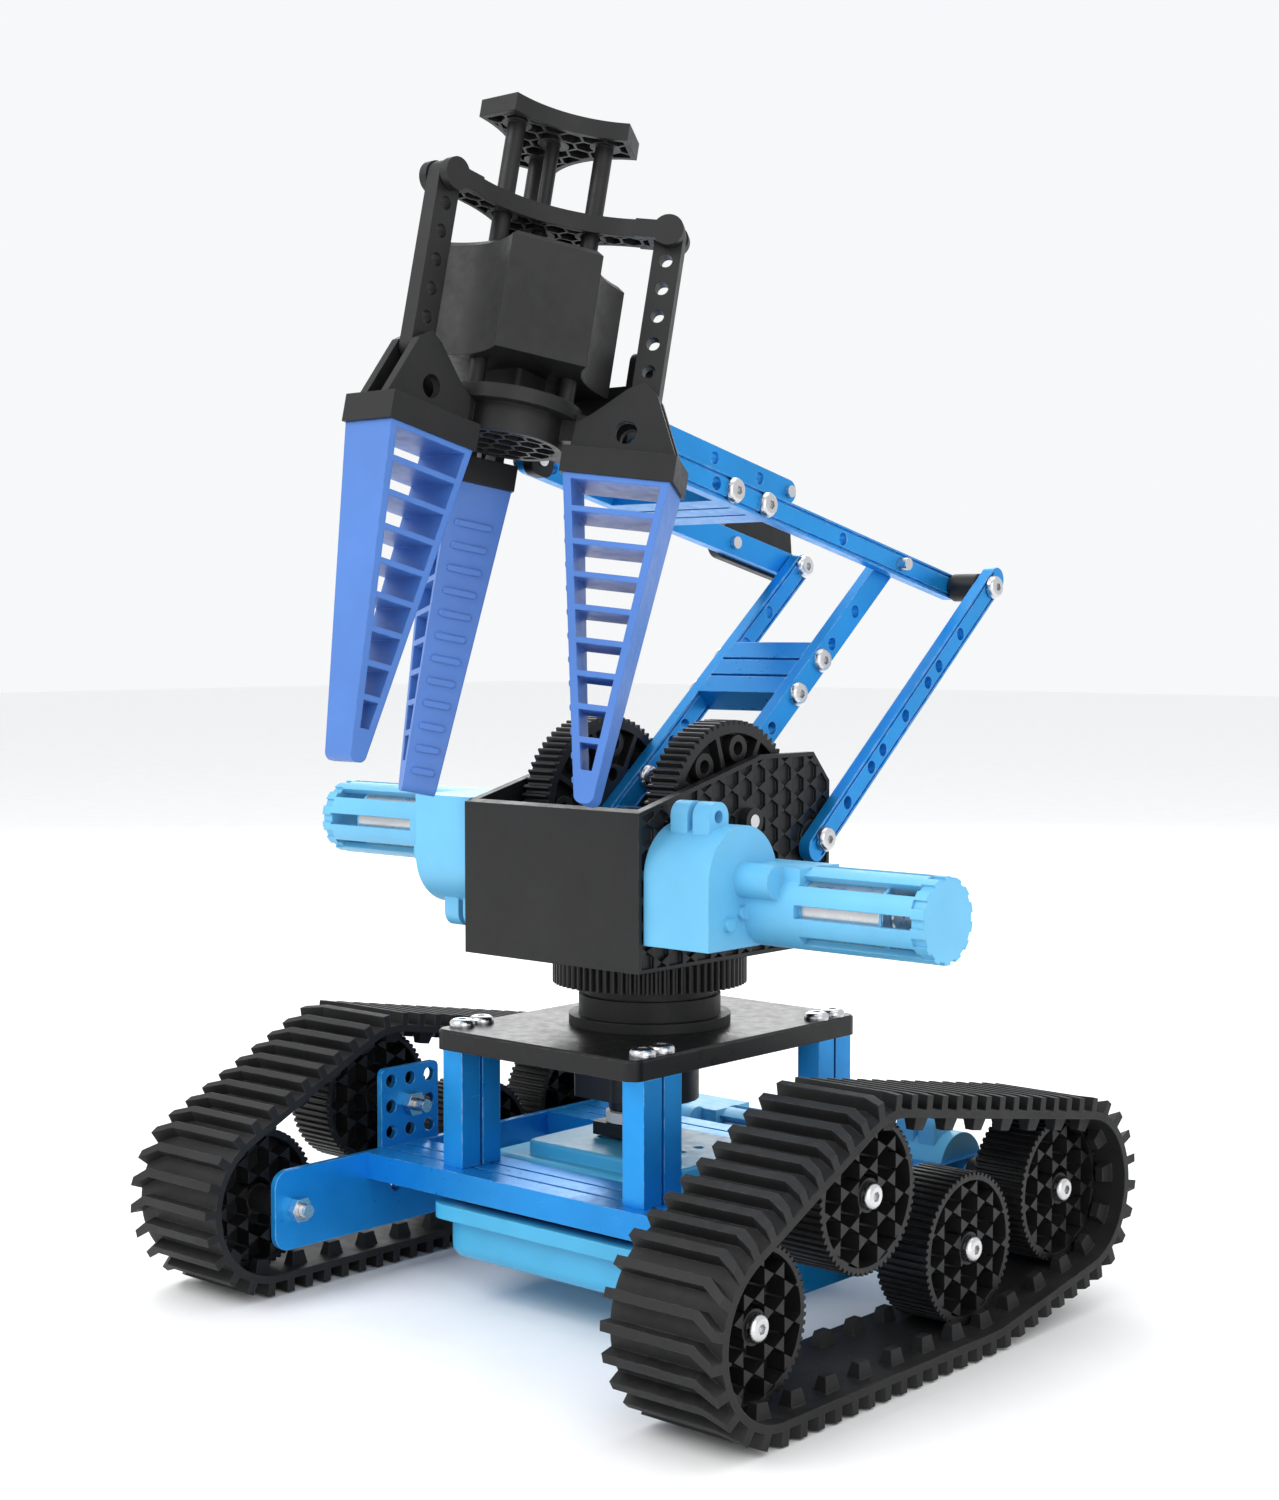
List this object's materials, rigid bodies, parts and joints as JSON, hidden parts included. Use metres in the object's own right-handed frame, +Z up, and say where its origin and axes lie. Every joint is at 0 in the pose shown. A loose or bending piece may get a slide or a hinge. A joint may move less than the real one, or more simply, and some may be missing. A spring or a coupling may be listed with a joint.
{
  "type": "tracked robot arm kit",
  "caption": "Tracked robot kit with a slewing turret, a gear-driven parallelogram arm and a claw of tapered fingers closed by a sliding yoke.",
  "frame": {"origin": "on the floor under the middle of the robot's bounding box", "axes": "+X to the robot's left, -Y to its front, +Z up"},
  "size_m": [0.2362, 0.2574, 0.3476],
  "materials": {
    "anodised_blue": "satin anodised",
    "black_plastic": "fine moulded",
    "motor_blue": "smooth moulded",
    "finger_blue": "moulded",
    "track_rubber": "moulded",
    "steel": "zinc plated",
    "control_cyan": "smooth moulded"
  },
  "bodies": {
    "chassis": {"side_plate_left": "anodised_blue", "side_plate_right": "anodised_blue", "chassis_cross_beams": "anodised_blue", "turret_posts": "anodised_blue", "wheel_brackets": "anodised_blue", "control_tray": "control_cyan", "control_lid": "control_cyan", "drive_motor_left": "motor_blue", "drive_motor_right": "motor_blue", "slew_motor": "black_plastic", "base_plate": "black_plastic", "slew_bush": "black_plastic", "track_belt_left": "track_rubber", "track_belt_right": "track_rubber", "wheel_spacers": "black_plastic", "wheel_nuts": "steel", "chassis_screws": "steel"},
    "turret": {"turret_housing": "black_plastic", "slew_gear": "black_plastic", "arm_shaft": "steel", "shaft_collars": "black_plastic", "turret_motor_left": "motor_blue", "turret_motor_right": "motor_blue", "turret_screws": "steel"},
    "pinion_left": {"arm_pinion_left": "black_plastic"},
    "pinion_right": {"arm_pinion_right": "black_plastic"},
    "boom": {"arm_gear_left": "black_plastic", "arm_gear_right": "black_plastic", "boom_left": "anodised_blue", "boom_right": "anodised_blue", "boom_cross_beam": "anodised_blue", "boom_screws": "steel"},
    "rear_link": {"rear_link": "anodised_blue"},
    "forearm": {"forearm_bar_left": "anodised_blue", "forearm_bar_right": "anodised_blue", "forearm_upper_bar": "anodised_blue", "forearm_cross_beam": "anodised_blue", "forearm_rocker": "black_plastic", "forearm_screws": "steel", "claw_frame": "black_plastic", "claw_motor": "black_plastic", "claw_ring": "black_plastic"},
    "yoke": {"claw_yoke": "black_plastic"},
    "claw_link_left_body": {"claw_link_left": "black_plastic"},
    "finger_left_body": {"finger_base_left": "black_plastic", "finger_left": "finger_blue"},
    "claw_link_right_body": {"claw_link_right": "black_plastic"},
    "finger_right_body": {"finger_base_right": "black_plastic", "finger_right": "finger_blue"},
    "claw_link_front_body": {"claw_link_front": "black_plastic"},
    "finger_front_body": {"finger_base_front": "black_plastic", "finger_front": "finger_blue"},
    "front_lower_wheel_left_body": {"front_lower_wheel_left": "black_plastic"},
    "front_upper_wheel_left_body": {"front_upper_wheel_left": "black_plastic"},
    "rear_lower_wheel_left_body": {"rear_lower_wheel_left": "black_plastic"},
    "drive_wheel_left_body": {"drive_wheel_left": "black_plastic"},
    "front_lower_wheel_right_body": {"front_lower_wheel_right": "black_plastic"},
    "front_upper_wheel_right_body": {"front_upper_wheel_right": "black_plastic"},
    "rear_lower_wheel_right_body": {"rear_lower_wheel_right": "black_plastic"},
    "drive_wheel_right_body": {"drive_wheel_right": "black_plastic"}
  },
  "joints": [
    {"name": "turret_slew", "type": "hinge", "parent": "chassis", "child": "turret", "pos_m": [0, -0.0055, 0.0945], "axis": [0, 0, 1], "range_deg": [-170, 170]},
    {"name": "shoulder", "type": "hinge", "parent": "turret", "child": "boom", "pos_m": [0, -0.0015, 0.1445], "axis": [1, 0, 0], "range_deg": [0, 105]},
    {"name": "arm_pinion_left_spin", "type": "hinge", "parent": "turret", "child": "pinion_left", "pos_m": [0, -0.03248, 0.1315], "axis": [1, 0, 0], "range_deg": [-640, 10]},
    {"name": "arm_pinion_right_spin", "type": "hinge", "parent": "turret", "child": "pinion_right", "pos_m": [0, -0.03248, 0.1315], "axis": [1, 0, 0], "range_deg": [-640, 10]},
    {"name": "rear_link_pivot", "type": "hinge", "parent": "turret", "child": "rear_link", "pos_m": [0, 0.02968, 0.1373], "axis": [1, 0, 0], "range_deg": [-1, 106]},
    {"name": "elbow", "type": "hinge", "parent": "boom", "child": "forearm", "pos_m": [0, 0.09043, 0.22163], "axis": [1, 0, 0], "range_deg": [-106, 1]},
    {"name": "grip", "type": "slide", "parent": "forearm", "child": "yoke", "axis": [0, 0.225, 0.9744], "range_m": [-0.00488, 0.0012]},
    {"name": "finger_left_pivot", "type": "hinge", "parent": "forearm", "child": "finger_left_body", "pos_m": [0.02079, -0.05378, 0.25493], "axis": [0.5, -0.8438, 0.1948], "range_deg": [-19, 6]},
    {"name": "claw_link_left_pivot", "type": "hinge", "parent": "yoke", "child": "claw_link_left_body", "pos_m": [0.03291, -0.03391, 0.30987], "axis": [0.5, -0.8438, 0.1948], "range_deg": [-3, 5]},
    {"name": "finger_right_pivot", "type": "hinge", "parent": "forearm", "child": "finger_right_body", "pos_m": [-0.02079, -0.05378, 0.25493], "axis": [0.5, 0.8438, -0.1948], "range_deg": [-19, 6]},
    {"name": "claw_link_right_pivot", "type": "hinge", "parent": "yoke", "child": "claw_link_right_body", "pos_m": [-0.03291, -0.03391, 0.30987], "axis": [0.5, 0.8438, -0.1948], "range_deg": [-3, 5]},
    {"name": "finger_front_pivot", "type": "hinge", "parent": "forearm", "child": "finger_front_body", "pos_m": [0, -0.08886, 0.26303], "axis": [-1, 0, 0], "range_deg": [-19, 6]},
    {"name": "claw_link_front_pivot", "type": "hinge", "parent": "yoke", "child": "claw_link_front_body", "pos_m": [0, -0.08945, 0.32269], "axis": [-1, 0, 0], "range_deg": [-3, 5]},
    {"name": "front_lower_wheel_left_spin", "type": "hinge", "parent": "chassis", "child": "front_lower_wheel_left_body", "pos_m": [0.096, -0.0855, 0.028], "axis": [1, 0, 0], "continuous": true},
    {"name": "front_upper_wheel_left_spin", "type": "hinge", "parent": "chassis", "child": "front_upper_wheel_left_body", "pos_m": [0.096, -0.0375, 0.052], "axis": [1, 0, 0], "continuous": true},
    {"name": "rear_lower_wheel_left_spin", "type": "hinge", "parent": "chassis", "child": "rear_lower_wheel_left_body", "pos_m": [0.096, 0.0105, 0.028], "axis": [1, 0, 0], "continuous": true},
    {"name": "drive_wheel_left_spin", "type": "hinge", "parent": "chassis", "child": "drive_wheel_left_body", "pos_m": [0.096, 0.0585, 0.036], "axis": [1, 0, 0], "continuous": true},
    {"name": "front_lower_wheel_right_spin", "type": "hinge", "parent": "chassis", "child": "front_lower_wheel_right_body", "pos_m": [-0.096, -0.0855, 0.028], "axis": [1, 0, 0], "continuous": true},
    {"name": "front_upper_wheel_right_spin", "type": "hinge", "parent": "chassis", "child": "front_upper_wheel_right_body", "pos_m": [-0.096, -0.0375, 0.052], "axis": [1, 0, 0], "continuous": true},
    {"name": "rear_lower_wheel_right_spin", "type": "hinge", "parent": "chassis", "child": "rear_lower_wheel_right_body", "pos_m": [-0.096, 0.0105, 0.028], "axis": [1, 0, 0], "continuous": true},
    {"name": "drive_wheel_right_spin", "type": "hinge", "parent": "chassis", "child": "drive_wheel_right_body", "pos_m": [-0.096, 0.0585, 0.036], "axis": [1, 0, 0], "continuous": true}
  ],
  "couplings": [
    {"joint": "arm_pinion_left_spin", "follows": "shoulder", "ratio": -6},
    {"joint": "arm_pinion_right_spin", "follows": "shoulder", "ratio": -6},
    {"joint": "rear_link_pivot", "follows": "shoulder", "ratio": 1},
    {"joint": "elbow", "follows": "shoulder", "ratio": -1},
    {"joint": "finger_left_pivot", "follows": "grip", "rad_per_m": 64.43},
    {"joint": "claw_link_left_pivot", "follows": "grip", "rad_per_m": -10.28},
    {"joint": "finger_right_pivot", "follows": "grip", "rad_per_m": 64.43},
    {"joint": "claw_link_right_pivot", "follows": "grip", "rad_per_m": -10.28},
    {"joint": "finger_front_pivot", "follows": "grip", "rad_per_m": 64.43},
    {"joint": "claw_link_front_pivot", "follows": "grip", "rad_per_m": -10.28},
    {"joint": "front_lower_wheel_left_spin", "follows": "drive_wheel_left_spin", "ratio": 1},
    {"joint": "front_upper_wheel_left_spin", "follows": "drive_wheel_left_spin", "ratio": 1},
    {"joint": "rear_lower_wheel_left_spin", "follows": "drive_wheel_left_spin", "ratio": 1},
    {"joint": "front_lower_wheel_right_spin", "follows": "drive_wheel_right_spin", "ratio": 1},
    {"joint": "front_upper_wheel_right_spin", "follows": "drive_wheel_right_spin", "ratio": 1},
    {"joint": "rear_lower_wheel_right_spin", "follows": "drive_wheel_right_spin", "ratio": 1}
  ]
}
